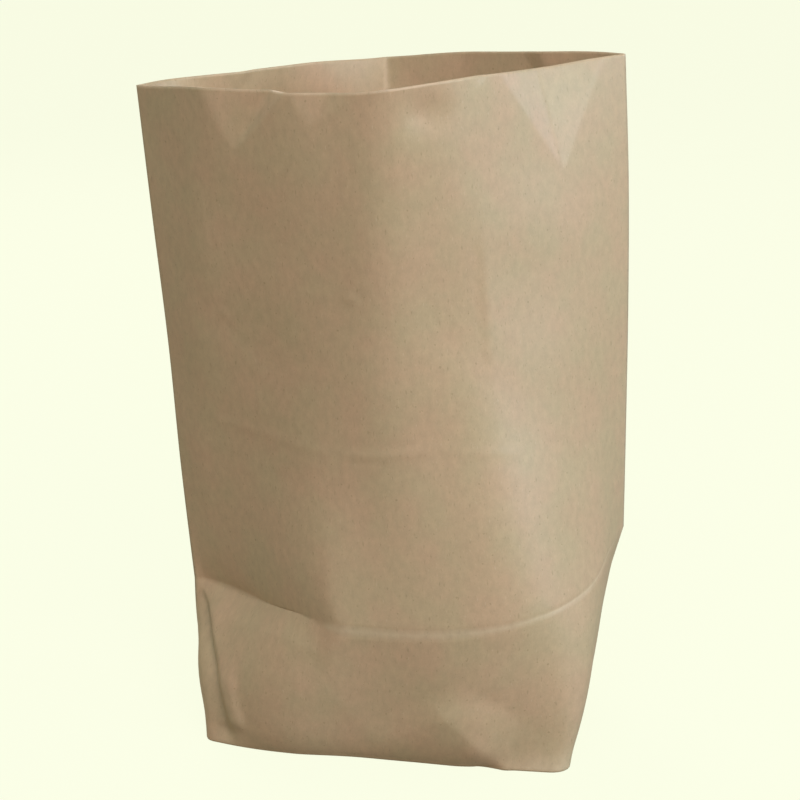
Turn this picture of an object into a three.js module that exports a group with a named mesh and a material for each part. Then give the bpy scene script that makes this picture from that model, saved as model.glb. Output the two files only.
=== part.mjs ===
// Open cross-bottom paper bag, standing, mouth up. Millimetres, +Z up, front faces -Y.
// The wall is lofted through plan sections. Each section runs from the left side fold to the
// right side fold, and is written as the compass of the wall plus the bends along it.
import * as THREE from 'three';

const TUBE_W = 190;        // width of the flat tube, side fold to side fold
const WALL = 0.8;          // wall thickness of the solid
const MOUTH_H = 229.6;     // height of the mouth at the left side fold
const MOUTH_RISE = 4.3;    // how much higher the mouth is at the right side fold
const CREASE_H = 47.1;     // height of the front bottom crease at its lowest
const CREASE_LEFT = 51.3;  // height where that crease meets the left side fold
const CREASE_RIGHT = 67.7; // height where it meets the right side fold
const SEAM_W = 18;         // width of the glued lap down the back
const SEAM_AT = 104;       // where the lap starts, from the left side fold
const SEAM_STEP = 0.5;     // how far the lap stands out
const BASE_FLOOR = 0.8;    // thickness of the bottom
const CREASE_DIP = 0.7;    // how far the front bottom crease is pressed in

// One plan section: [start heading in degrees, [place along the wall, turn in degrees, spread]...]
// Levels go up from the floor: floor, half crease, crease, then quarters up to the mouth.
const FRONT = [
  [-90, [22.5, 76, 7], [48, 14, 24], [88, -3, 40], [147, 94, 9], [160, 4, 20]],
  [-76, [15, 48, 16], [38, 31, 36], [85, -4, 40], [135, 10, 24], [150, 80, 24], [170, 8, 18]],
  [-12, [10, -20, 16], [63, 30, 8], [112, 14, 40], [140, 35, 34], [160, 30, 26]],
  [-24, [11, -6, 10], [64, 22, 20], [100, 14, 30], [124, 30, 30], [154, 26, 44]],
  [-34, [18, 8, 12], [64, 18, 24], [93, 22, 28], [118, 26, 30], [160, 16, 44]],
  [-38, [27, 12, 12], [64, 16, 24], [95, 34, 26], [118, 18, 30], [165, 8, 40]],
  [-42, [36, 18, 12], [66, 12, 20], [98, 34, 22], [118, 21, 24], [172, -8, 26]],
];
const BACK = [
  [84, [38, -50, 20], [56, -34, 24], [90, -4, 40], [156, -84, 24]],
  [65, [56, -73, 46], [158, -68, 44]],
  [80, [8, -34, 14], [70, -66, 60], [165, -28, 40]],
  [76, [20, -40, 36], [88, -62, 66], [175, -5, 30]],
  [75, [16, -30, 30], [84, -74, 110]],
  [50, [54, -37, 10], [115, -44, 70], [175, -10, 30]],
  [80, [18, -58, 14], [100, -20, 24], [128, -32, 22], [176, -26, 26]],
];
// plan position of the left and right side folds at the same levels
const LEFT = [[-66.8, -17], [-74.2, -16], [-75.2, -14.7], [-75.9, -17.5], [-76.2, -20.4],
  [-77, -23.4], [-78.2, -24.5]];
const RIGHT = [[60, 0.1], [69.3, 1.3], [77.7, 2.3], [79.7, 2], [80.4, 1.5], [80.3, 1],
  [79.1, 0.2]];
// creases pushed in from the lip, each a wide face, a valley and a narrow face that meet below:
// [left end, valley, right end on the lip, place and depth of the point, push at the valley]
const DENTS = [[34, 58, 66, 45, 19, 2.4], [66, 77, 84, 71, 8, 1.1], [157, 180, 188, 161, 32, 3.4]];

// stations along the wall, and rows up it: 0..1 is floor to crease, 1..2 is crease to mouth
const FRONT_U = [5, 10, 15, 19, 22.5, 26, 30, 34, 40, 45, 52, 58, 62, 66, 71, 77, 84, 91, 98, 104,
  112, 122, 132, 140, 147, 152, 157, 161, 169, 175, 180, 184, 188];
const BACK_U = [6, 12, 18, 26, 33, 38, 44, 50, 56, 64, 72, 82, 93, 103.4, 104, 112, 122, 122.6,
  130, 138, 146, 151, 156, 162, 169, 176, 183];
const ROWS = [0, 0.1, 0.28, 0.5, 0.72, 0.93, 1, 1.02, 1.09, 1.18, 1.28, 1.4, 1.52, 1.64, 1.74,
  1.82, 1.86, 1.9, 1.932, 1.96, 1.98, 2];

const ease = (t) => { const c = Math.min(1, Math.max(0, t)); return c * c * (3 - 2 * c); };
const lerp = (a, b, t) => a + (b - a) * t;

// walk along one section in short steps, then stretch and turn it to end on both side folds
function section([start, ...bends], left, right) {
  const step = 0.5;
  const n = TUBE_W / step;
  const xs = [0];
  const ys = [0];
  for (let i = 0; i < n; i += 1) {
    const u = (i + 0.5) * step;
    let h = start;
    for (const [place, turn, spread] of bends) h += turn * ease((u - place) / spread + 0.5);
    const a = h * Math.PI / 180;
    xs.push(xs[i] + step * Math.cos(a));
    ys.push(ys[i] + step * Math.sin(a));
  }
  const dx = right[0] - left[0];
  const dy = right[1] - left[1];
  const q = xs[n] * xs[n] + ys[n] * ys[n];
  const re = (dx * xs[n] + dy * ys[n]) / q;
  const im = (dy * xs[n] - dx * ys[n]) / q;
  return (u) => {
    const t = Math.min(n - 1e-9, u / step);
    const i = Math.floor(t);
    const x = lerp(xs[i], xs[i + 1], t - i);
    const y = lerp(ys[i], ys[i + 1], t - i);
    return [left[0] + re * x - im * y, left[1] + re * y + im * x];
  };
}
const SECTIONS = {
  front: FRONT.map((s, i) => section(s, LEFT[i], RIGHT[i])),
  back: BACK.map((s, i) => section(s, LEFT[i], RIGHT[i])),
};

function creaseHeight(u, front) {
  if (!front) {
    return CREASE_LEFT + (CREASE_RIGHT - CREASE_LEFT) * u / TUBE_W
      + 2.2 * Math.sin(Math.PI * u / TUBE_W);
  }
  const nearLeft = Math.max(0, 1 - u / 25);
  const nearRight = Math.max(0, (u - 95) / 95);
  return CREASE_H + 2.2 * (1 - ease((u - 55) / 30)) + 2 * nearLeft * nearLeft
    + (CREASE_RIGHT - CREASE_H) * nearRight ** 1.35;
}
function mouthHeight(u, front) {
  if (!front) return MOUTH_H + MOUTH_RISE * ease(u / 110);
  const hump = Math.sin(Math.PI * Math.min(1, u / 75)) ** 2;
  return MOUTH_H + hump - 1.6 * Math.exp(-(((u - 95) / 18) ** 2))
    + MOUTH_RISE * Math.max(0, (u - 60) / 130);
}

// middle surface of the wall at place u on one ply, row r
function wall(u, r, front) {
  const ply = SECTIONS[front ? 'front' : 'back'];
  const c = creaseHeight(u, front);
  const m = mouthHeight(u, front);
  const z = [0, 0.5 * c, c, lerp(c, m, 0.25), lerp(c, m, 0.5), lerp(c, m, 0.75), m];
  const p = ply.map((s) => s(u));
  const slope = (i, k) => (p[i + 1][k] - p[i][k]) / (z[i + 1] - z[i]);
  const mean = (i, k) => 0.5 * (slope(i - 1, k) + slope(i, k));
  const s = r < 1 ? r * 2 : 2 + (r - 1) * 4;
  const i = Math.min(5, Math.floor(s + 1e-9));
  const t = s - i;
  const h = z[i + 1] - z[i];
  // the front wall is kinked along the crease, the back wall is not
  const kink = front ? 1 : 1 - ease(Math.min(u, TUBE_W - u) / 12);
  const tangent = (j, k, below) => {
    if (j === 0) return 1.5 * slope(0, k) - 0.5 * mean(1, k);
    if (j === 6) return slope(5, k);
    if (j !== 2) return mean(j, k);
    const one = below ? 1.5 * slope(1, k) - 0.5 * mean(1, k)
      : 1.5 * slope(2, k) - 0.5 * mean(3, k);
    return lerp(mean(2, k), one, kink);
  };
  const at = [0, 1].map((k) => {
    const a = p[i][k];
    const b = p[i + 1][k];
    const ta = tangent(i, k, false) * h;
    const tb = tangent(i + 1, k, true) * h;
    const t2 = t * t;
    const t3 = t2 * t;
    return (2 * t3 - 3 * t2 + 1) * a + (t3 - 2 * t2 + t) * ta
      + (3 * t2 - 2 * t3) * b + (t3 - t2) * tb;
  });
  return new THREE.Vector3(at[0], at[1], z[i] + h * t);
}

// push of the lip creases at place u, so far below the lip
function dentDepth(u, below) {
  let push = 0;
  for (const [from, valley, to, point, depth, most] of DENTS) {
    const f = 1 - below / depth;
    if (f > 0) {
      const [a, v, b] = [from, valley, to].map((end) => lerp(point, end, f));
      const side = u < v ? (u - a) / Math.max(1e-6, v - a) : (b - u) / Math.max(1e-6, b - v);
      push += most * f * Math.max(0, side);
    }
  }
  return push;
}

// one closed loop of stations: front ply left to right, then back ply right to left
const LOOP = [
  ...[0, ...FRONT_U, TUBE_W].map((u) => ({ u, front: true })),
  ...BACK_U.slice().reverse().map((u) => ({ u, front: false })),
];

function ringPoint({ u, front }, r) {
  const p = wall(u, r, front);
  if (front && r > 0.93) {
    const c = creaseHeight(u, true);
    const m = mouthHeight(u, true);
    let push = r > 1 ? dentDepth(u, (m - c) * (2 - r)) : 0;
    if (r === 1) push += CREASE_DIP * Math.min(1, u / 8, (TUBE_W - u) / 8);
    if (push > 0) {
      const e = 1;
      const q = wall(Math.min(TUBE_W, u + e), r, true).sub(wall(Math.max(0, u - e), r, true));
      const n = new THREE.Vector2(-q.y, q.x).normalize();
      p.x += n.x * push;
      p.y += n.y * push;
    }
  }
  return p;
}

function buildBag() {
  const n = LOOP.length;
  const outer = [];
  const inner = [];
  for (const r of ROWS) {
    const ring = LOOP.map((s) => ringPoint(s, r));
    // horizontal outward normal at each station, with a short mitre at the folds
    const normals = ring.map((p, i) => {
      const a = ring[(i + n - 1) % n];
      const b = ring[(i + 1) % n];
      const d1 = new THREE.Vector2(p.x - a.x, p.y - a.y).normalize();
      const d2 = new THREE.Vector2(b.x - p.x, b.y - p.y).normalize();
      const m = new THREE.Vector2(d1.y + d2.y, -(d1.x + d2.x)).normalize();
      const cos = Math.max(0.55, m.x * d1.y - m.y * d1.x);
      return m.multiplyScalar(1 / cos);
    });
    outer.push(ring.map((p, i) => {
      const s = LOOP[i];
      const lap = !s.front && s.u >= SEAM_AT && s.u <= SEAM_AT + SEAM_W && r > 0.05;
      const out = lap ? SEAM_STEP : 0;
      return new THREE.Vector3(p.x + normals[i].x * out, p.y + normals[i].y * out, p.z);
    }));
    inner.push(ring.map((p, i) => new THREE.Vector3(
      p.x - normals[i].x * WALL,
      p.y - normals[i].y * WALL,
      Math.max(p.z, BASE_FLOOR),
    )));
  }
  const points = [...outer.flat(), ...inner.flat()];
  const rows = ROWS.length;
  const half = rows * n;
  const faces = [];
  const quad = (a, b, c, d) => faces.push(a, b, c, a, c, d);
  for (let k = 0; k + 1 < rows; k += 1) {
    for (let i = 0; i < n; i += 1) {
      const j = (i + 1) % n;
      const a = k * n + i;
      const b = k * n + j;
      quad(a, b, b + n, a + n);
      quad(half + b, half + a, half + a + n, half + b + n);
    }
  }
  const top = (rows - 1) * n;
  for (let i = 0; i < n; i += 1) {
    const j = (i + 1) % n;
    quad(top + i, top + j, half + top + j, half + top + i);
  }
  // bottom: the floor outline seen from above, filled once outside and once inside
  for (const [ring, base, up] of [[outer[0], 0, false], [inner[0], half, true]]) {
    const flat = ring.map((p) => new THREE.Vector2(p.x, p.y));
    for (const [a, b, c] of THREE.ShapeUtils.triangulateShape(flat, [])) {
      const area = (flat[b].x - flat[a].x) * (flat[c].y - flat[a].y)
        - (flat[c].x - flat[a].x) * (flat[b].y - flat[a].y);
      if ((area > 0) === up) faces.push(base + a, base + b, base + c);
      else faces.push(base + a, base + c, base + b);
    }
  }
  // the origin goes to the middle of the footprint box, on the floor
  const box = new THREE.Box3().setFromPoints(points);
  const cx = (box.min.x + box.max.x) / 2;
  const cy = (box.min.y + box.max.y) / 2;
  const data = points.flatMap((p) => [p.x - cx, p.y - cy, p.z - box.min.z]);
  const geometry = new THREE.BufferGeometry();
  geometry.setAttribute('position', new THREE.Float32BufferAttribute(data, 3));
  geometry.setIndex(faces);
  geometry.computeVertexNormals();
  return geometry;
}

const kraft = new THREE.MeshStandardMaterial({
  color: '#b39b78', roughness: 0.85, metalness: 0, side: THREE.DoubleSide, flatShading: true,
});
const bag = new THREE.Mesh(buildBag(), kraft);
bag.name = 'paper_bag';

const group = new THREE.Group();
group.name = 'tea_packaging_bag';
group.add(bag);
export default group;
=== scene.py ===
import bpy
import numpy as np
from mathutils import Matrix, Vector


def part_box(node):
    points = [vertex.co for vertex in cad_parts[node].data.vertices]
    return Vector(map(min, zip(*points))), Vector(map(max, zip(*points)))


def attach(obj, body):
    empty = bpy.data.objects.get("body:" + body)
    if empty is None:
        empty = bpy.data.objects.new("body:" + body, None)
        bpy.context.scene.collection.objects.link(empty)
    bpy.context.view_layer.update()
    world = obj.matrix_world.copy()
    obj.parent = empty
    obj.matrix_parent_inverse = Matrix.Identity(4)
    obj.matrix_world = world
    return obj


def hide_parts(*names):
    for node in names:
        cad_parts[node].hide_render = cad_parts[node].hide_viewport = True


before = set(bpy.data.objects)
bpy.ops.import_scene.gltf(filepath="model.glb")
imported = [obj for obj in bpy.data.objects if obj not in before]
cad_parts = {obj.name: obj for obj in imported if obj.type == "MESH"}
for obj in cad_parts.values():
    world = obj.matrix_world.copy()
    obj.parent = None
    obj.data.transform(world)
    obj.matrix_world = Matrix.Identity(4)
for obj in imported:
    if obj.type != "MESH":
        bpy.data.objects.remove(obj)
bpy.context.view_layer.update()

MM = 0.001
NODE = "paper_bag"

# ---------------------------------------------------------------- driving dimensions
TUBE_W = 190.0          # width of the flat tube, side fold to side fold
PAPER = 0.35            # thickness of the shell
MOUTH_H = 229.6         # height of the mouth at the left side fold
MOUTH_RISE = 4.3        # how much higher the mouth gets towards the right side fold
FRONT_RISE_FROM = 60.0  # the front lip rises from here on
BACK_RISE_TO = 110.0    # and the back lip as far as here
MOUTH_CORNER = 0.6      # how much more both rise near the right side fold
CORNER_FROM = (160, 25) # from where on, and over how much
MOUTH_HUMP = 1.0        # hump at the left of the front lip
HUMP_W = 75.0           # its width, from the left side fold on
CREASE_H = 52.5         # height of the front bottom crease over its middle
CREASE_STEP = 2.4       # how much lower it runs at its left
STEP_AT = (30, 30)      # from where on it rises by that, and over how much
CREASE_LEFT = 51.3      # height where it meets the left side fold
TURN_UP = 25.0          # how far from that fold it turns up
CREASE_RIGHT = 70.5     # height where it meets the right side fold
CLIMB_FROM = 66.0       # from where on it climbs to that
CLIMB_POWER = 2.8       # and how late: 1 would be a straight climb
BACK_ARCH = 2.2         # how far the back's bottom bend arches up between the side folds
SEAM_AT = 104.0         # where the glued lap down the back starts
SEAM_W = 18.0           # its width
SEAM_STEP = 0.32        # how far it stands out
SEAM_CUT = 0.25         # width of the step at its cut edge
SEAM_SOFT = 5.0         # and of the soft one at its other end
BASE_RECESS = 0.55      # how far the middle of the bottom stands off the floor
BASE_FLOOR = 0.95       # height of the inside of the bottom
WALL_FOOT = 0.3         # lowest height of the wall, above the rounded edge of the bottom
FLAP_LAP = 17.0         # how far the two flaps of the underside overlap
FLAP_SLOPE = 0.62       # how far their ends run in, for each mm of depth

# small bumps and dips along the lip and along the front bottom crease: [place, spread, height]
LIP_BUMPS = {
    "front": [(126, 14, 0.5), (50, 14, -0.7), (86, 19, -1.25), (157, 12, -0.3)],
    "back": [(165, 18, 0.7), (95, 22, -2.0)],
}
CREASE_BUMPS = [(46, 10, -0.4), (174, 8, 2.2)]

# One plan section: [start heading in degrees, [place along the wall, turn in degrees, spread]...]
# Levels go up from the floor: floor, half crease, crease, then quarters up to the mouth.
FRONT = [
    [-90, [22.5, 76, 7], [48, 14, 24], [88, -3, 40], [146.2, 94, 9], [160, 4, 20]],
    [-76, [15, 48, 16], [38, 31, 36], [85, -4, 40], [135, 10, 24], [149.2, 80, 24], [170, 8, 18]],
    [-18, [10, -12, 16], [69, 28, 8], [108, 16, 40], [138, 33, 34], [160, 30, 26]],
    [-34, [12, 10, 10], [66, 12, 30], [96, 20, 26], [124, 26, 30], [154, 26, 44]],
    [-36, [18, 14, 12], [66, 10, 34], [92, 26, 26], [118, 24, 30], [160, 16, 44]],
    [-38, [26, 16, 12], [66, 8, 34], [95, 36, 24], [118, 18, 30], [165, 8, 40]],
    [-42, [36, 18, 12], [66, 8, 20], [98, 38, 18], [118, 21, 24], [172, -8, 26]],
]
BACK = [
    [84, [38, -50, 20], [56, -34, 24], [90, -4, 40], [156, -84, 24]],
    [65, [56, -73, 46], [158, -68, 44]],
    [80, [8, -34, 14], [70, -66, 60], [165, -28, 40]],
    [76, [20, -40, 36], [88, -62, 66], [175, -5, 30]],
    [75, [16, -30, 30], [84, -74, 110]],
    [50, [54, -37, 10], [108, -44, 44], [175, -10, 30]],
    [78, [16, -46, 16], [57, 14, 6], [96, -62, 5], [125, -14, 6], [180, -12, 14]],
]
# plan position of the left and right side folds at the same levels
LEFT = [(-67.5, -17), (-74.3, -16), (-75.2, -14.7), (-76.2, -17.5), (-76.3, -20.4),
        (-77.4, -23.4), (-79, -24.5)]
RIGHT = [(59.1, 0.1), (68.9, 1.3), (79.2, 2.3), (79.9, 2), (80.4, 1.5), (80.3, 1), (79.1, 0.2)]

# mesh grid: stations along the wall, and rows up it (0..1 floor to crease, 1..2 crease to mouth)
STATION = 1.25
# more stations: at the lap's cut edge, and beside two of the creases at the lip
MORE_STATIONS = [SEAM_AT, SEAM_AT + 0.3, 180.0, 58.0]
ROW_BANDS = [(0.01, 0.2, 14), (0.2, 0.9, 34), (0.9, 1.0, 9), (1.0, 1.05, 16), (1.05, 1.78, 84),
             (1.78, 2.0, 42)]
BASE_RINGS = 26
BASE_REACH = (0.04, 0.97)   # first and last ring of the bottom, as a share of the way out
LIP_ROWS = 1.8              # rows above this are near the lip
# rounded edge of the bottom, from inside out: how far in from the foot of the wall, and how high
BASE_EDGE = [(1.2, BASE_RECESS), (0.5, 0.0), (0.12, 0.1)]
WALK = 0.5              # step of the walk along a plan section


def ease(t):
    c = np.clip(t, 0.0, 1.0)
    return c * c * (3 - 2 * c)


def lerp(a, b, t):
    return a + (b - a) * t


def stretch(u, start, full, until, end):
    """1 from full to until, easing off to 0 at start and at end."""
    return ease((u - start) / (full - start)) * ease((end - u) / (end - until))


def bumps(u, spots):
    """Height of a row of soft bumps at u, each with its place, spread and height."""
    return sum(height * np.exp(-(((u - at) / size) ** 2)) for at, size, height in spots)


# ---------------------------------------------------------------- the loft
def section(spec, left, right):
    """Walks along one plan section, then stretches and turns it to end on both side folds.
    Plan points are complex numbers, x + iy."""
    start, *bends = spec
    u = np.arange(WALK / 2, TUBE_W, WALK)
    heading = np.full_like(u, start)
    for place, turn, spread in bends:
        heading += turn * ease((u - place) / spread + 0.5)
    path = np.concatenate([[0], np.cumsum(WALK * np.exp(1j * np.radians(heading)))])
    a, b = complex(*left), complex(*right)
    return a + path * (b - a) / path[-1]


SECTIONS = {
    True: [section(s, LEFT[i], RIGHT[i]) for i, s in enumerate(FRONT)],
    False: [section(s, LEFT[i], RIGHT[i]) for i, s in enumerate(BACK)],
}


def crease_height(u, front):
    if not front:
        rise = CREASE_LEFT + (CREASE_RIGHT - CREASE_LEFT) * u / TUBE_W
        return rise + BACK_ARCH * np.sin(np.pi * u / TUBE_W)
    near_left = np.clip(1 - u / TURN_UP, 0, None)
    near_right = np.clip((u - CLIMB_FROM) / (TUBE_W - CLIMB_FROM), 0, None)
    step = CREASE_STEP * (1 - ease((u - STEP_AT[0]) / STEP_AT[1]))
    return (CREASE_H + (CREASE_LEFT + CREASE_STEP - CREASE_H) * near_left ** 2
            + (CREASE_RIGHT - CREASE_H) * near_right ** CLIMB_POWER
            - step + bumps(u, CREASE_BUMPS))


def mouth_height(u, front):
    uneven = MOUTH_CORNER * ease((u - CORNER_FROM[0]) / CORNER_FROM[1])
    uneven = uneven + bumps(u, LIP_BUMPS["front" if front else "back"])
    if not front:
        return MOUTH_H + MOUTH_RISE * ease(u / BACK_RISE_TO) + uneven
    hump = MOUTH_HUMP * np.sin(np.pi * np.clip(u / HUMP_W, 0, 1)) ** 2
    rise = np.clip((u - FRONT_RISE_FROM) / (TUBE_W - FRONT_RISE_FROM), 0, None)
    return MOUTH_H + hump + uneven + MOUTH_RISE * rise


def wall(u, rows, front):
    """Smooth wall of one ply, as points [row, station, xyz]."""
    walk = np.arange(len(SECTIONS[front][0])) * WALK
    p = np.array([np.interp(u, walk, s.real) + 1j * np.interp(u, walk, s.imag)
                  for s in SECTIONS[front]])
    c, m = crease_height(u, front), mouth_height(u, front)
    z = np.array([0 * c, 0.5 * c, c] + [lerp(c, m, q) for q in (0.25, 0.5, 0.75, 1)])
    slope = np.diff(p, axis=0) / np.diff(z, axis=0)
    mean = 0.5 * (slope[:-1] + slope[1:])
    # the front wall is kinked along the crease, the back wall only close to the side folds
    kink = np.ones_like(u) if front else 1 - ease(np.minimum(u, TUBE_W - u) / 12)
    over = lerp(mean[1], 1.5 * slope[2] - 0.5 * mean[2], kink)
    under = lerp(mean[1], 1.5 * slope[1] - 0.5 * mean[0], kink)
    leave = [1.5 * slope[0] - 0.5 * mean[0], mean[0], over, mean[2], mean[3], mean[4]]
    reach = [mean[0], under, mean[2], mean[3], mean[4], slope[5]]
    out = []
    for r in rows:
        s = 2 * r if r < 1 else 4 * r - 2
        i = min(5, int(s + 1e-9))
        t, h = s - i, z[i + 1] - z[i]
        q = ((2 * t**3 - 3 * t**2 + 1) * p[i] + (t**3 - 2 * t**2 + t) * leave[i] * h
             + (3 * t**2 - 2 * t**3) * p[i + 1] + (t**3 - t**2) * reach[i] * h)
        out.append(np.stack([q.real, q.imag, z[i] + h * t], axis=1))
    return np.array(out)


# ---------------------------------------------------------------- relief in the flat paper
# Each helper gives a height in mm over the paper, outward positive, at places (u, v), v upward.
def pinch(u, v, start, valley, end, point, depth, push):
    """A crease pushed in from the lip (v = 0), whose faces meet in a point below it."""
    f = np.clip(1 + v / depth, 0, None)
    a, c, b = (point + (x - point) * f for x in (start, valley, end))
    near = (u - a) / np.maximum(1e-6, c - a)
    far = (b - u) / np.maximum(1e-6, b - c)
    return -push * f * np.clip(np.minimum(near, far), 0, None)


def fold(u, v, a, b, left, right, height, fade=(0.2, 0.2)):
    """A straight fold from a to b: a ridge (or a valley) with banks of their own widths.
    A width is one number, or one for each end."""
    a, b = np.array(a, float), np.array(b, float)
    run = b - a
    length = np.hypot(*run)
    along = ((u - a[0]) * run[0] + (v - a[1]) * run[1]) / length**2
    side = ((u - a[0]) * run[1] - (v - a[1]) * run[0]) / length
    if run[1] < 0 or (run[1] == 0 and run[0] > 0):
        side = -side
    t = np.clip(along, 0, 1)
    wide = [lerp(*w, t) if isinstance(w, tuple) else w for w in (left, right)]
    bank = np.where(side < 0, 1 + side / wide[0], 1 - side / wide[1])
    ends = ease(along / max(1e-6, fade[0])) * ease((1 - along) / max(1e-6, fade[1]))
    return height * np.clip(bank, 0, None) * ends


def swell(u, v, at, size, height):
    """A soft round rise or dent."""
    return height * np.exp(-((u - at[0]) / size[0]) ** 2 - ((v - at[1]) / size[1]) ** 2)


def waves(u, v, wave, seed, count=14):
    """Smooth uneven ground with bumps about one wave long, of height about 1."""
    rng = np.random.default_rng(seed)
    total = np.zeros(np.broadcast(u, v).shape)
    for _ in range(count):
        angle, phase = rng.uniform(0, 2 * np.pi, 2)
        k = 2 * np.pi / (wave * rng.uniform(0.75, 1.6))
        total = total + np.sin(k * (u * np.cos(angle) + v * np.sin(angle)) + phase)
    return total / np.sqrt(count)


def crumple(u, v, cell, seed):
    """Flat facets with sharp creases between them, as paper buckles, of height about 1."""
    u = u + 0.3 * cell * waves(u, v, 2.6 * cell, seed + 1)
    v = v + 0.3 * cell * waves(u, v, 2.6 * cell, seed + 2)
    x, y = u / cell + 0.5 * v / cell, v / cell * 0.9
    i, j = np.floor(x).astype(int), np.floor(y).astype(int)
    fx, fy = x - i, y - j
    heights = np.random.default_rng(seed).uniform(-1, 1, (64, 64))

    def at(di, dj):
        return heights[(i + di) % 64, (j + dj) % 64]

    low = at(0, 0) + fx * (at(1, 0) - at(0, 0)) + fy * (at(0, 1) - at(0, 0))
    high = at(1, 1) + (1 - fx) * (at(0, 1) - at(1, 1)) + (1 - fy) * (at(1, 0) - at(1, 1))
    return np.where(fx + fy < 1, low, high)


# the paper's unevenness: height, size of a facet or wave, seed
FRONT_CRUMPLE = (0.10, 19, 11)
FRONT_WAVES = (0.16, 46, 21)
BACK_CRUMPLE = (0.16, 23, 31)
BACK_WAVES = (0.22, 50, 41)
SIDE_FADE = 3.0         # all relief fades out so far from a side fold

# Creases pushed in from the lip: left end, valley and right end on the lip, place and depth of
# the point where they meet, and the push at the valley.
FRONT_PINCHES = [
    (34, 59, 67, 45, 19, 4.2),
    (67, 81, 89, 74, 10, 1.6),
    (138, 157, 181, 161, 33, 4.2),
    (126, 130.5, 133, 129, 4, 0.5),
]
BACK_PINCHES = [(26, 40, 46, 33, 15, 1.3), (150, 158, 170, 160, 20, 1.6)]

# Straight folds in (u, v): from, to, width of the left and of the right bank, height, and the
# share of the length over which each end fades.
FRONT_MARKS = [
    ((28, -73.3), (36, -76), 1.6, 1.6, 0.3, (0.5, 0.5)),
    ((78.5, -62.4), (86, -66.5), 1.8, 2.4, 0.35, (0.5, 0.5)),
    ((124.3, -52.6), (125.6, -56.6), 0.9, 0.9, -0.3, (0.3, 0.3)),
]
# the faint crease where the bag lay folded for storage
FRONT_STORAGE_CREASE = [
    ((14, -112.5), (74, -117), 1.9, 1.9, 0.2, (0.3, 0.1)),
    ((72, -117), (110, -116), 1.6, 1.6, 0.46, (0.3, 0.3)),
    ((107, -116), (140, -123), 1.9, 1.9, 0.18, (0.2, 0.4)),
]
BACK_STORAGE_CREASE = [
    ((30, -109), (88, -113), 2.6, 2.6, 0.25, (0.3, 0.3)),
    ((126, -112), (170, -108), 2.6, 2.6, 0.25, (0.3, 0.3)),
]
# folds of the corners at the bottom, in (u, z)
LEFT_STREAK = ((30, 32), (38, 6), (16, 16), (3, 3), 1.4, (0.4, 0.2))
FACET_RIM = ((100, 30), (126, 0), (46, 34), (13, 17), 3.0, (0.35, 0.3))
RIGHT_END_FOLD = ((188, 62), (158, 2), 7, 7, 0.35)
BACK_END_FOLDS = [
    ((0, 51), (46, 0), (2, 9), (2, 7), -1.0, (0.25, 0.1)),
    ((190, 68), (148, 0), (2, 8), (2, 9), -1.0, (0.25, 0.1)),
]

LIP_DENT = ((111, -9), (7, 5.5), -1.2)      # a soft dent under the lip: place, size, height
HOLLOW = ((115, -70), (13, 21), -1.6)       # a shallow hollow above the middle
HOLLOW_RIM = (129.5, 5)                     # its firmer right rim, and how wide that is

CREASE_KINK = (65, 8)           # the front bottom crease changes here, over so much
CREASE_PRESS = (0.22, 1.7)      # how deep it is pressed in, right and left of the kink
CREASE_REACH_UP = (2.0, 20.0)   # how far that reaches above it, right and left
CREASE_REACH_DOWN = (1.4, 9.0)  # and below it

PANEL_OUT = 6.5                     # how far the panel below leans out at the crease
PANEL_ACROSS = (14, 69, 120, 165)   # over which stretch of the wall
PANEL_OUT_LOW = 0.7                 # the same at the floor
PANEL_FOOT = 3.3                    # and how much more its foot stands out there
FOOT_ACROSS = (26, 60, 115, 131)
PANEL_FADE = (50, 110)              # the wall above takes up the lean from here, over so much
PANEL_SWELL = 4.6                   # how far the middle of the panel swells out
SWELL_ACROSS = (20, 60, 100, 150)
ROLL = 4.2                          # how far its edge is rolled under at the floor
ROLL_H = 13.0                       # height where that starts
ROLL_FROM = (28, 26)                # it comes in from here along the wall, over so much
ROLL_END = 9                        # and runs out over so much
FACET_FOOT = 127                    # where the right corner facet meets the floor
FACET_RUN = (24, 27)                # and how far left its edge runs, in so much height

VALLEY_FOOT = 31                    # where the valley of the left corner meets the floor
VALLEY_RUN = (29, 47)               # and how far left it curves, in so much height
VALLEY_CURVE = 2.1                  # and how late: 1 would be straight
VALLEY_DEPTH = 2.5
VALLEY_TALL = (0, 7, 38, 50)        # over which heights it comes in and runs out
VALLEY_BANKS = (9, 4.6, 2.4)        # width of its left bank, and of its right one, low and high

CORNER_FOOT = 2.6                   # how far the foot of the right corner stands out
CORNER_FOOT_H = 15.0                # height up to which it does
CORNER_ACROSS = (118, 128, 141, 151)
CORNER_DENT = ((119, 27), (5, 4), -0.5)

BACK_TUCK = 0.8                     # how far the back is drawn in at the floor
BACK_TUCK_H = 9.0                   # height up to which it is
BACK_TUCK_ACROSS = (54, 68, 136, 150)


def bottom_crease(u, z):
    """The front bottom crease is pressed in, deep at the left and hardly at the right."""
    at, wide = CREASE_KINK
    left = 1 - ease((u - at) / wide)
    above = z - crease_height(u, True)
    over = np.clip(1 - above / lerp(*CREASE_REACH_UP, left), 0, 1) ** 2
    under = np.clip(1 + above / lerp(*CREASE_REACH_DOWN, left), 0, 1)
    return -lerp(*CREASE_PRESS, left) * np.minimum(over, under)


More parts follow.
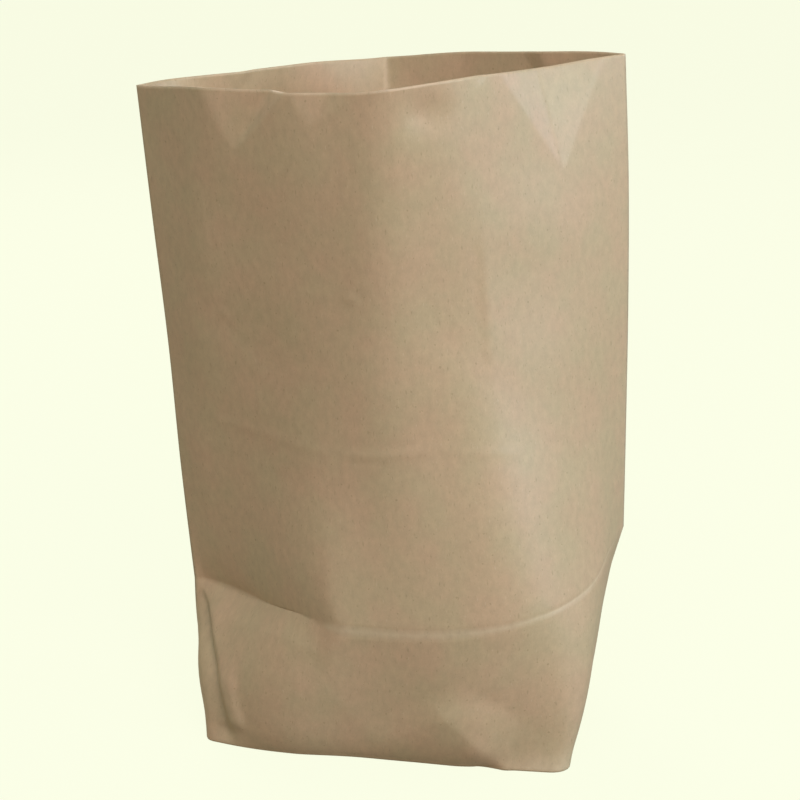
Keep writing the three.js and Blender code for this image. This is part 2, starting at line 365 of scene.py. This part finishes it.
def lower_panel(u, z):
    """Below the crease the panel swells, leans in to the floor, and is rolled under there."""
    rise = np.clip(z / crease_height(u, True), 0, 1)
    across = stretch(u, *PANEL_ACROSS)
    foot = PANEL_OUT_LOW * across + PANEL_FOOT * stretch(u, *FOOT_ACROSS)
    start, run = PANEL_FADE
    h = lerp(foot, PANEL_OUT * across, rise) * (1 - ease((z - start) / run))
    h += PANEL_SWELL * np.sin(np.pi * rise) * stretch(u, *SWELL_ACROSS)
    # the roll goes as far as the right corner facet
    run, tall = FACET_RUN
    facet_edge = FACET_FOOT - run * np.clip(z / tall, 0, 1.2)
    start, wide = ROLL_FROM
    rolled = ease((u - start) / wide) * np.clip((facet_edge - u) / ROLL_END, 0, 1)
    return h - ROLL * (1 - np.sqrt(1 - np.clip(1 - z / ROLL_H, 0, 0.99) ** 2)) * rolled


def left_corner(u, z):
    """A curved valley with a steep right bank, and a streak beside it."""
    run, tall = VALLEY_RUN
    left_bank, low, high = VALLEY_BANKS
    off = u - (VALLEY_FOOT - run * np.clip(z / tall, 0, 1.05) ** VALLEY_CURVE)
    right_bank = lerp(low, high, np.clip(z / tall, 0, 1))
    bank = np.where(off < 0, 1 + off / left_bank, 1 - off / right_bank)
    valley = VALLEY_DEPTH * np.clip(bank, 0, None) * stretch(z, *VALLEY_TALL)
    return fold(u, z, *LEFT_STREAK) - valley


def right_corner(u, z):
    """A facet with a rim and a foot that stands out, and the end fold behind it."""
    h = CORNER_FOOT * np.clip(1 - z / CORNER_FOOT_H, 0, 1) ** 2 * stretch(u, *CORNER_ACROSS)
    h += fold(u, z, *FACET_RIM)
    h += swell(u, z, *CORNER_DENT)
    return h + fold(u, z, *RIGHT_END_FOLD)


def uneven_paper(u, v, crumpled, wavy):
    return crumpled[0] * crumple(u, v, *crumpled[1:]) + wavy[0] * waves(u, v, *wavy[1:])


def front_relief(u, z, d):
    v = -d
    h = uneven_paper(u, v, FRONT_CRUMPLE, FRONT_WAVES)
    for crease in FRONT_PINCHES:
        h += pinch(u, v, *crease)
    for crease in FRONT_MARKS + FRONT_STORAGE_CREASE:
        h += fold(u, v, *crease)
    rim, wide = HOLLOW_RIM
    h += swell(u, v, *LIP_DENT)
    h += swell(u, v, *HOLLOW) * ease((rim - u) / wide)
    return h + bottom_crease(u, z) + lower_panel(u, z) + left_corner(u, z) + right_corner(u, z)


def lap(u):
    """Height of the glued lap down the back: a cut edge, and a soft end under the paper."""
    soft_end = 1 - ease((u - SEAM_AT - SEAM_W) / SEAM_SOFT)
    return SEAM_STEP * np.clip((u - SEAM_AT) / SEAM_CUT, 0, 1) * soft_end


def back_relief(u, z, d):
    v = -d
    h = uneven_paper(u, v, BACK_CRUMPLE, BACK_WAVES)
    h += lap(u) + 0 * z
    for crease in BACK_PINCHES:
        h += pinch(u, v, *crease)
    for crease in BACK_STORAGE_CREASE:
        h += fold(u, v, *crease)
    # end folds, from the side folds down to the back corners
    for crease in BACK_END_FOLDS:
        h += fold(u, z, *crease)
    h -= BACK_TUCK * np.clip(1 - z / BACK_TUCK_H, 0, 1) ** 2 * stretch(u, *BACK_TUCK_ACROSS)
    return h


# ---------------------------------------------------------------- the shell
# how pale the paper is made, 0 to 1, and how far from its line that reaches, in mm: rubbed paper,
# and painted highlights on the bottom crease and the side folds, a painted reflection at the right
# foot
CREASE_RUB_AND_HIGHLIGHT = 0.5
CREASE_RUB_AND_HIGHLIGHT_W = 0.5
CREASE_RUB_AND_HIGHLIGHT_FROM = (66, 3)              # the crease is pale from here on, over so much: rubbed, and a painted highlight on its ridge
CREASE_RUB_AND_HIGHLIGHT_LESS = (168, 20, 0.3)       # then down to this share from here on, over so much
LAP_WORN = 0.35
LAP_WORN_W = 0.5
# paler along the side folds: rubbed paper, and a painted highlight on the fold edges
SIDE_RUB_AND_HIGHLIGHT = 0.35
SIDE_RUB_AND_HIGHLIGHT_W = 0.7
FOOT_PAINTED_REFLECTION = ((140, 0), (9, 5), 0.5)     # a pale patch at the foot of the right corner: a painted reflection of the bright floor
LIP_WORN_W = 0.5
FRONT_LIP_WORN = (0.1, 0.3)             # at the left and at the right
FRONT_RIM_WORN = (0.2, 0.6)             # the same on the cut edge of the lip
BACK_LIP_WORN = 0.1


def to_the_right(u):
    """0 over the left third of the front lip, easing to 1."""
    return ease((u - 60) / 50)


def ply(u, rows, front):
    """Outer face of one ply with its relief, and its pale marks: rubs, painted highlights, a
    painted reflection.
    """
    p = wall(u, rows, front)
    along, up = np.gradient(p, axis=1), np.gradient(p, axis=0)
    n = np.cross(along, up) if front else np.cross(up, along)
    n /= np.linalg.norm(n, axis=2, keepdims=True)
    z = p[:, :, 2]
    d = mouth_height(u, front)[None] - z
    to_side = np.minimum(u, TUBE_W - u)[None]
    h = (front_relief if front else back_relief)(u[None], z, d)
    p = p + n * (h * ease(to_side / SIDE_FADE))[:, :, None]
    p[:, :, 2] = np.maximum(p[:, :, 2], WALL_FOOT)
    if front:
        # a pale line along the bottom crease: rubbed paper, and a painted highlight on its ridge
        worn_and_lit = CREASE_RUB_AND_HIGHLIGHT * np.exp(-((z - crease_height(u, True)) / CREASE_RUB_AND_HIGHLIGHT_W) ** 2)
        start, wide = CREASE_RUB_AND_HIGHLIGHT_FROM
        worn_and_lit = worn_and_lit * ease((u - start) / wide)
        start, wide, share = CREASE_RUB_AND_HIGHLIGHT_LESS
        worn_and_lit = worn_and_lit * lerp(1, share, ease((u - start) / wide))
        # paler at the foot of the right corner: a painted reflection of the bright floor
        worn_and_lit += swell(u[None], z, *FOOT_PAINTED_REFLECTION)
        lip_worn = lerp(*FRONT_LIP_WORN, to_the_right(u))
    else:
        worn_and_lit = LAP_WORN * np.exp(-((u[None] - SEAM_AT) / LAP_WORN_W) ** 2) + 0 * z
        lip_worn = BACK_LIP_WORN
    # paler along the side folds: rubbed paper, and a painted highlight on the fold edges
    worn_and_lit = worn_and_lit + SIDE_RUB_AND_HIGHLIGHT * np.exp(-(to_side / SIDE_RUB_AND_HIGHLIGHT_W) ** 2)
    return p, worn_and_lit, lip_worn * np.exp(-(d / LIP_WORN_W) ** 2)


def unit(v):
    return v / np.maximum(1e-9, np.linalg.norm(v, axis=-1, keepdims=True))


def ring_normals(rings):
    """Outward normals of stacked closed rings."""
    before, after = np.roll(rings, 1, axis=1), np.roll(rings, -1, axis=1)
    up = np.gradient(rings, axis=0)
    n = unit(np.cross(unit(rings - before), up)) + unit(np.cross(unit(after - rings), up))
    return unit(n)


def shrink(ring, middle, by, z):
    """A floor ring moved in towards the middle by some mm, at height z."""
    away = ring[:, :2] - middle
    far = np.linalg.norm(away, axis=1, keepdims=True)
    flat = middle + away * (1 - by / far)
    return np.column_stack([flat, np.full(len(ring), z)])


INNER_FACE = 40.0       # third pattern coordinate of the paper's inner face; the outer has 0
BOTTOM_SHEET = -120.0   # second pattern coordinate of the middle of the bottom
FLAP_SHEET = (1, -1, 8) # pattern of the flaps: mirrored, and away from the bottom's


def bag_shell():
    """Rings of points from the middle of the underside, out, up the wall, over the lip, down
    the inside and to the middle of the inner bottom, with wear and painted highlights, and flat
    coordinates."""
    u = np.unique(np.concatenate([np.arange(0, TUBE_W + 0.01, STATION), MORE_STATIONS]))
    rows = np.unique(np.concatenate([np.linspace(a, b, n + 1) for a, b, n in ROW_BANDS]))
    outer, worn_and_lit, rubbed_lip = (
        np.concatenate([a, b[:, -2:0:-1]], axis=1)
        for a, b in zip(ply(u, rows, True), ply(u, rows, False))
    )
    loop = np.concatenate([u, 2 * TUBE_W - u[-2:0:-1]])
    paper = PAPER + np.where(loop > TUBE_W, lap(2 * TUBE_W - loop), 0)
    inner = outer - ring_normals(outer) * paper[None, :, None]
    inner[:, :, 2] = np.where(np.arange(len(rows))[:, None] == len(rows) - 1,
                              outer[:, :, 2], np.maximum(inner[:, :, 2], BASE_FLOOR))
    foot = outer[0]
    middle = foot[:, :2].mean(axis=0)
    scales = np.linspace(*BASE_REACH, BASE_RINGS)

    def floor_rings(ring, z):
        flat = middle + (ring[:, :2] - middle) * scales[:, None, None]
        return np.concatenate([flat, np.full(flat.shape[:2] + (1,), z)], axis=2)

    under = floor_rings(foot, BASE_RECESS)
    edge = np.array([shrink(foot, middle, by, z) for by, z in BASE_EDGE])
    # the inside takes every row near the lip, every other row below, and the crease
    keep = [k for k in range(len(rows))
            if rows[k] > LIP_ROWS or k % 2 == len(rows) % 2 or rows[k] == 1]
    lining = inner[keep][::-1]
    inside = floor_rings(shrink(inner[0], middle, 0.0, 0), BASE_FLOOR)[::-1]
    rings = np.concatenate([under, edge, outer, lining, inside])
    counts = [len(under) + len(edge), len(outer), len(lining), len(inside)]
    wear_and_highlight = np.concatenate([np.zeros((counts[0], len(loop))), worn_and_lit + rubbed_lip,
                           rubbed_lip[keep][::-1], np.zeros((counts[3], len(loop)))])
    rim = lerp(*FRONT_RIM_WORN, to_the_right(loop))
    wear_and_highlight[counts[0] + counts[1]] = np.where(loop < TUBE_W, rim, BACK_LIP_WORN)
    flat = np.zeros(rings.shape)
    flat[:, :, 0] = loop
    flat[:, :, 1] = rings[:, :, 2]
    # the paper's inner face and the bottom get other stretches of the fibre pattern
    flat[counts[0] + counts[1]:, :, 2] = INNER_FACE
    for part, sign in ((slice(0, counts[0]), -1), (slice(-counts[3], None), 1)):
        flat[part, :, :2] = rings[part, :, :2] * (1, sign) + (0, BOTTOM_SHEET)
    return rings, wear_and_highlight, flat


def closed_mesh(name, rings, wear_and_highlight, flat):
    """A closed mesh from stacked rings, with both ends filled by a fan."""
    count, n = rings.shape[:2]
    k, i = np.meshgrid(np.arange(count - 1), np.arange(n), indexing="ij")
    a, b = k * n + i, k * n + (i + 1) % n
    quads = np.stack([a, b, b + n, a + n], axis=-1).reshape(-1, 4)
    tips = [rings[0].mean(axis=0), rings[-1].mean(axis=0)]
    points = np.concatenate([rings.reshape(-1, 3), tips])
    low, high = count * n, count * n + 1
    ring = np.arange(n)
    after = (ring + 1) % n
    last = (count - 1) * n
    fans = [(int(b), int(a), low) for a, b in zip(ring, after)]
    fans += [(int(last + a), int(last + b), high) for a, b in zip(ring, after)]
    mesh = bpy.data.meshes.new(name)
    mesh.from_pydata((points * MM).tolist(), [], quads.tolist() + fans)
    for label, kind, values in (
        ("wear_and_highlight", "FLOAT", np.append(wear_and_highlight.ravel(), [0, 0])),
        ("sheet", "FLOAT_VECTOR", np.concatenate([flat.reshape(-1, 3), flat[0, :1], flat[-1, :1]])),
    ):
        layer = mesh.attributes.new(label, kind, "POINT")
        layer.data.foreach_set("value" if kind == "FLOAT" else "vector", values.ravel())
    mesh.update()
    return mesh


def flap_plate(name, corners, low, high):
    """A folded flap of the bottom: a thin closed plate, with its corners counter-clockwise."""
    n = len(corners)
    points = [(x, y, z) for z in (low, high) for x, y in corners]
    faces = [list(range(n))[::-1], list(range(n, 2 * n))]
    faces += [[i, (i + 1) % n, n + (i + 1) % n, n + i] for i in range(n)]
    mesh = bpy.data.meshes.new(name)
    mesh.from_pydata((np.array(points) * MM).tolist(), [], faces)
    mesh.attributes.new("wear_and_highlight", "FLOAT", "POINT")
    sheet = mesh.attributes.new("sheet", "FLOAT_VECTOR", "POINT")
    sheet.data.foreach_set("vector", (np.array(points) * FLAP_SHEET).ravel())
    mesh.update()
    return mesh


# The flaps: where their folded edge starts and ends on the foot of the wall, how far in from it
# that edge lies at the ends and along it, which way the flap runs, and its lowest and top height.
FLAPS = {
    "bottom_flap_front": ((30, 122), (2, 3.6), 1, (0.31, 0.53)),
    "bottom_flap_back": ((2 * TUBE_W - 50, 2 * TUBE_W - 146), (2, 2.2), -1, (0.06, 0.28)),
}


def bottom_flaps(loop, foot):
    """The front flap, and the back flap lapped over it, under the recessed bottom."""
    edges = {}
    for name, (places, (end_in, side_in), way, _) in FLAPS.items():
        points = [[np.interp(place, loop, foot[:, k]) for k in (0, 1)] for place in places]
        edges[name] = np.array(points) + [[end_in, way * side_in], [-end_in, way * side_in]]
    middle = np.mean([edge[:, 1] for edge in edges.values()])
    meshes = []
    for name, (_, _, way, (low, high)) in FLAPS.items():
        edge = edges[name]
        end = middle + way * FLAP_LAP / 2
        tips = [(p[0] + side * FLAP_SLOPE * abs(end - p[1]), end)
                for p, side in zip(edge, (1, -1))]
        outline = [edge[0], edge[1], tips[1], tips[0]][::way]
        meshes.append(flap_plate(name, outline, low, high))
    return meshes


# ---------------------------------------------------------------- material
KRAFT_WARM = (0.600, 0.440, 0.297)      # pinkish and greenish brown of the paper
KRAFT_GREEN = (0.560, 0.447, 0.292)
KRAFT_DARK = (0.31, 0.22, 0.13)         # dark fibres and specks
KRAFT_PALE = (0.78, 0.67, 0.50)         # pale fibres, rubbed paper, and painted highlights and a painted reflection


class Nodes:
    """Short calls for building one material's nodes."""

    def __init__(self, name):
        self.material = bpy.data.materials.new(name)
        self.material.use_nodes = True
        self.tree = self.material.node_tree
        self.shader = self.tree.nodes["Principled BSDF"]

    def add(self, kind, inputs=(), **settings):
        node = self.tree.nodes.new(kind)
        for key, value in settings.items():
            setattr(node, key, value)
        for key, value in dict(inputs).items():
            self.set(node, key, value)
        return node

    def set(self, node, key, value):
        if isinstance(value, bpy.types.NodeSocket):
            self.tree.links.new(value, node.inputs[key])
        else:
            node.inputs[key].default_value = value

    def attribute(self, name, output):
        return self.add("ShaderNodeAttribute", attribute_name=name).outputs[output]

    def scaled(self, vector, scale, shift=(0, 0, 0)):
        inputs = {"Vector": vector, "Scale": scale, "Location": shift}
        return self.add("ShaderNodeMapping", inputs).outputs["Vector"]

    def noise(self, vector, detail=2.0, roughness=0.5):
        inputs = {"Vector": vector, "Scale": 1.0, "Detail": detail, "Roughness": roughness}
        return self.add("ShaderNodeTexNoise", inputs).outputs["Fac"]

    def span(self, value, low, high, to_low=0.0, to_high=1.0):
        inputs = {"Value": value, "From Min": low, "From Max": high,
                  "To Min": to_low, "To Max": to_high}
        return self.add("ShaderNodeMapRange", inputs).outputs["Result"]

    def math(self, operation, a, b):
        return self.add("ShaderNodeMath", {0: a, 1: b}, operation=operation).outputs[0]

    def mix(self, factor, a, b, blend="MIX"):
        node = self.add("ShaderNodeMix", data_type="RGBA", blend_type=blend)
        for key, value in ((0, factor), (6, a), (7, b)):
            self.set(node, key, value if not isinstance(value, tuple) else (*value, 1))
        return node.outputs[2]


def kraft_paper():
    """Procedural kraft paper. Its patterns are laid out on the flat sheet, in repeats per mm."""
    n = Nodes("kraft_paper")
    sheet = n.attribute("sheet", "Vector")
    worn_and_lit = n.attribute("wear_and_highlight", "Fac")
    # soft pink and green clouds, then the uneven density of the pulp
    clouds = n.noise(n.scaled(sheet, (0.07, 0.055, 0.1)), 3)
    pulp = n.noise(n.scaled(sheet, (0.42, 0.26, 0.3), (31, 7, 0)), 4, 0.6)
    grain = n.noise(n.scaled(sheet, (2.3, 1.3, 1.0), (3, 11, 0)), 3, 0.6)
    color = n.mix(n.span(clouds, 0.36, 0.64), KRAFT_GREEN, KRAFT_WARM)
    formation = n.span(pulp, 0.3, 0.7, 0.935, 1.065)
    shade = n.math("ADD", formation, n.span(grain, 0.25, 0.75, -0.04, 0.04))
    shade_color = n.add("ShaderNodeCombineColor", {0: shade, 1: shade, 2: shade}).outputs[0]
    color = n.mix(1.0, color, shade_color, "MULTIPLY")
    # dark and light fibres along the bag, and a few specks
    fibres = n.noise(n.scaled(sheet, (1.5, 0.42, 0.5), (5, 2, 0)), 1, 0.4)
    color = n.mix(n.span(fibres, 0.66, 0.78, 0, 0.38), color, KRAFT_DARK)
    hairs = n.noise(n.scaled(sheet, (2.1, 0.5, 0.5), (17, 23, 0)), 1, 0.4)
    color = n.mix(n.span(hairs, 0.68, 0.8, 0, 0.3), color, KRAFT_PALE)
    specks = n.noise(n.scaled(sheet, (0.9, 0.8, 0.5), (8, 41, 0)), 0, 0.3)
    color = n.mix(n.span(specks, 0.79, 0.84, 0, 0.38), color, KRAFT_DARK)
    # rubbed folds and cut edges are paler; the same mix paints highlights on the bottom crease and
    # the side folds, and a painted reflection at the foot of the right corner
    rub_and_highlight = n.math("MULTIPLY", worn_and_lit, n.span(pulp, 0.3, 0.65, 0.55, 1.0))
    color = n.mix(rub_and_highlight, color, KRAFT_PALE)
    n.set(n.shader, "Base Color", color)
    n.set(n.shader, "Roughness", n.span(grain, 0.3, 0.7, 0.36, 0.48))
    n.set(n.shader, "Specular IOR Level", 0.5)
    relief = n.math("ADD", n.math("MULTIPLY", grain, 0.6), n.math("MULTIPLY", fibres, 0.5))
    bump = n.add("ShaderNodeBump", {"Height": relief, "Strength": 0.25, "Distance": 0.00012})
    n.set(n.shader, "Normal", bump.outputs["Normal"])
    return n.material


# ---------------------------------------------------------------- stage, light and camera
GROUND = (0.965, 0.991, 0.791)      # pale cream
FILL = (1.0, 0.89, 0.63)            # colour of the light from all round
FILL_LEVEL = 0.30
FILL_TILT = (-0.14, 0.14, 0.0)      # how much it grows towards +X, +Y and up
# Soft round lamps: degrees from the front towards the right, degrees above level, strength,
# colour, width in metres.
LAMPS = {
    "front": (5, 60, 0.17, (0.55, 1.03, 1.25), 0.9),
    "key": (36, 33, 0.45, (1.25, 0.98, 0.88), 0.9),
    "side": (70, 10, 0.29, (0.70, 1.03, 1.10), 0.5),
    "glint": (108, 14, 0.12, (0.80, 1.0, 1.30), 0.45),
    "behind": (215, 40, 0.3, (1.0, 0.95, 0.85), 0.9),
}
LAMP_AWAY = 1.5                     # metres
LAMP_AIM = (0, 0, 0.12)             # the point they face, in metres
FLOOR_R = 12.0                      # metres
FLOOR_PALE = 0.05                   # what the floor gives back of the lamps' light
FLOOR_DIM = (0.04, 0.037, 0.03)     # how much less it glows than the ground, to make up for that


def plain_floor():
    mesh = bpy.data.meshes.new("floor")
    turns = np.linspace(0, 2 * np.pi, 97)[:-1]
    ring = [(FLOOR_R * np.cos(a), FLOOR_R * np.sin(a), 0) for a in turns]
    mesh.from_pydata(ring, [], [list(range(len(ring)))])
    n = Nodes("floor")
    n.set(n.shader, "Base Color", (FLOOR_PALE, FLOOR_PALE, FLOOR_PALE, 1))
    n.set(n.shader, "Roughness", 1.0)
    n.set(n.shader, "Specular IOR Level", 0.0)
    glow = [shown - dim for shown, dim in zip(GROUND, FLOOR_DIM)]
    n.set(n.shader, "Emission Color", (*glow, 1))
    n.set(n.shader, "Emission Strength", 1.0)
    mesh.materials.append(n.material)
    floor = bpy.data.objects.new("floor", mesh)
    floor.visible_diffuse = False
    floor.visible_glossy = False
    bpy.context.collection.objects.link(floor)


def softbox(name, compass, height, strength, color, size):
    """A round area light that gives a facing surface at the bag this much irradiance over pi."""
    compass, height = np.radians((compass, height))
    towards = Vector((np.sin(compass) * np.cos(height), -np.cos(compass) * np.cos(height),
                      np.sin(height)))
    light = bpy.data.lights.new(name, "AREA")
    light.shape = "DISK"
    light.size = size
    light.energy = strength * (np.pi * LAMP_AWAY) ** 2
    light.color = color
    lamp = bpy.data.objects.new(name, light)
    lamp.location = Vector(LAMP_AIM) + towards * LAMP_AWAY
    lamp.rotation_mode = "QUATERNION"
    lamp.rotation_quaternion = towards.to_track_quat("Z", "Y")
    bpy.context.collection.objects.link(lamp)


def world_light():
    """A fill from all round, a little stronger from one side. The camera sees the plain ground."""
    world = bpy.data.worlds.new("studio")
    world.use_nodes = True
    tree = world.node_tree
    fill = tree.nodes["Background"]
    fill.inputs["Color"].default_value = (*FILL, 1)
    way = tree.nodes.new("ShaderNodeTexCoord").outputs["Generated"]
    dot = tree.nodes.new("ShaderNodeVectorMath")
    dot.operation = "DOT_PRODUCT"
    dot.inputs[1].default_value = FILL_TILT
    tree.links.new(way, dot.inputs[0])
    grown = tree.nodes.new("ShaderNodeMath")
    grown.inputs[1].default_value = FILL_LEVEL
    tree.links.new(dot.outputs["Value"], grown.inputs[0])
    tree.links.new(grown.outputs[0], fill.inputs["Strength"])
    seen = tree.nodes.new("ShaderNodeBackground")
    seen.inputs["Color"].default_value = (*GROUND, 1)
    path = tree.nodes.new("ShaderNodeLightPath")
    mix = tree.nodes.new("ShaderNodeMixShader")
    tree.links.new(path.outputs["Is Camera Ray"], mix.inputs[0])
    tree.links.new(fill.outputs[0], mix.inputs[1])
    tree.links.new(seen.outputs[0], mix.inputs[2])
    tree.links.new(mix.outputs[0], tree.nodes["World Output"].inputs["Surface"])
    bpy.context.scene.world = world


CAMERA_AT = (105.2, -532.6, 276.0)  # in the same place system as the plan sections
CAMERA_TURN = 11.107                # degrees to the left of straight ahead
CAMERA_DOWN = 16.417                # degrees below level
CAMERA_ROLL = -2.046
CAMERA_LENS = 72.0                  # for a picture as wide as this film
CAMERA_FILM = 36.0
CAMERA_FAR = 100.0                  # how far it sees, in metres


def make_camera(shift):
    turn, down, roll = np.radians((CAMERA_TURN, CAMERA_DOWN, CAMERA_ROLL))
    ahead = Vector((-np.sin(turn) * np.cos(down), np.cos(turn) * np.cos(down), -np.sin(down)))
    right = Vector((np.cos(turn), np.sin(turn), 0))
    up = right.cross(ahead)
    right_rolled = right * np.cos(roll) + up * np.sin(roll)
    up_rolled = up * np.cos(roll) - right * np.sin(roll)
    data = bpy.data.cameras.new("camera")
    data.lens = CAMERA_LENS
    data.sensor_width = CAMERA_FILM
    data.clip_end = CAMERA_FAR
    camera = bpy.data.objects.new("camera", data)
    place = (Vector(CAMERA_AT) + Vector((*shift, 0))) * MM
    axes = Matrix((right_rolled, up_rolled, -ahead)).transposed().to_4x4()
    camera.matrix_world = Matrix.Translation(place) @ axes
    bpy.context.collection.objects.link(camera)
    bpy.context.scene.camera = camera


def place_of(low, high, rings):
    """How far the loft has to move in plan to stand in the middle of the node's box."""
    mine = (rings.reshape(-1, 3)[:, :2].min(axis=0) + rings.reshape(-1, 3)[:, :2].max(axis=0)) / 2
    theirs = np.array([(low.x + high.x) / 2, (low.y + high.y) / 2]) / MM
    return theirs - mine


def main():
    rings, wear_and_highlight, flat = bag_shell()
    shift = place_of(*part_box(NODE), rings)
    rings[:, :, :2] += shift
    mesh = closed_mesh("kraft_bag", rings, wear_and_highlight, flat)
    paper = kraft_paper()
    mesh.materials.append(paper)
    bag = bpy.data.objects.new("kraft_bag", mesh)
    bpy.context.collection.objects.link(bag)
    for face in mesh.polygons:
        face.use_smooth = True
    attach(bag, "root")
    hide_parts(NODE)
    foot = BASE_RINGS + len(BASE_EDGE)
    for mesh in bottom_flaps(flat[foot, :, 0], rings[foot]):
        mesh.materials.append(paper)
        flap = bpy.data.objects.new(mesh.name, mesh)
        bpy.context.collection.objects.link(flap)
        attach(flap, "root")

    plain_floor()
    world_light()
    for name, lamp in LAMPS.items():
        softbox(name, *lamp)
    make_camera(shift)
    bpy.context.scene.view_settings.view_transform = "Standard"


main()
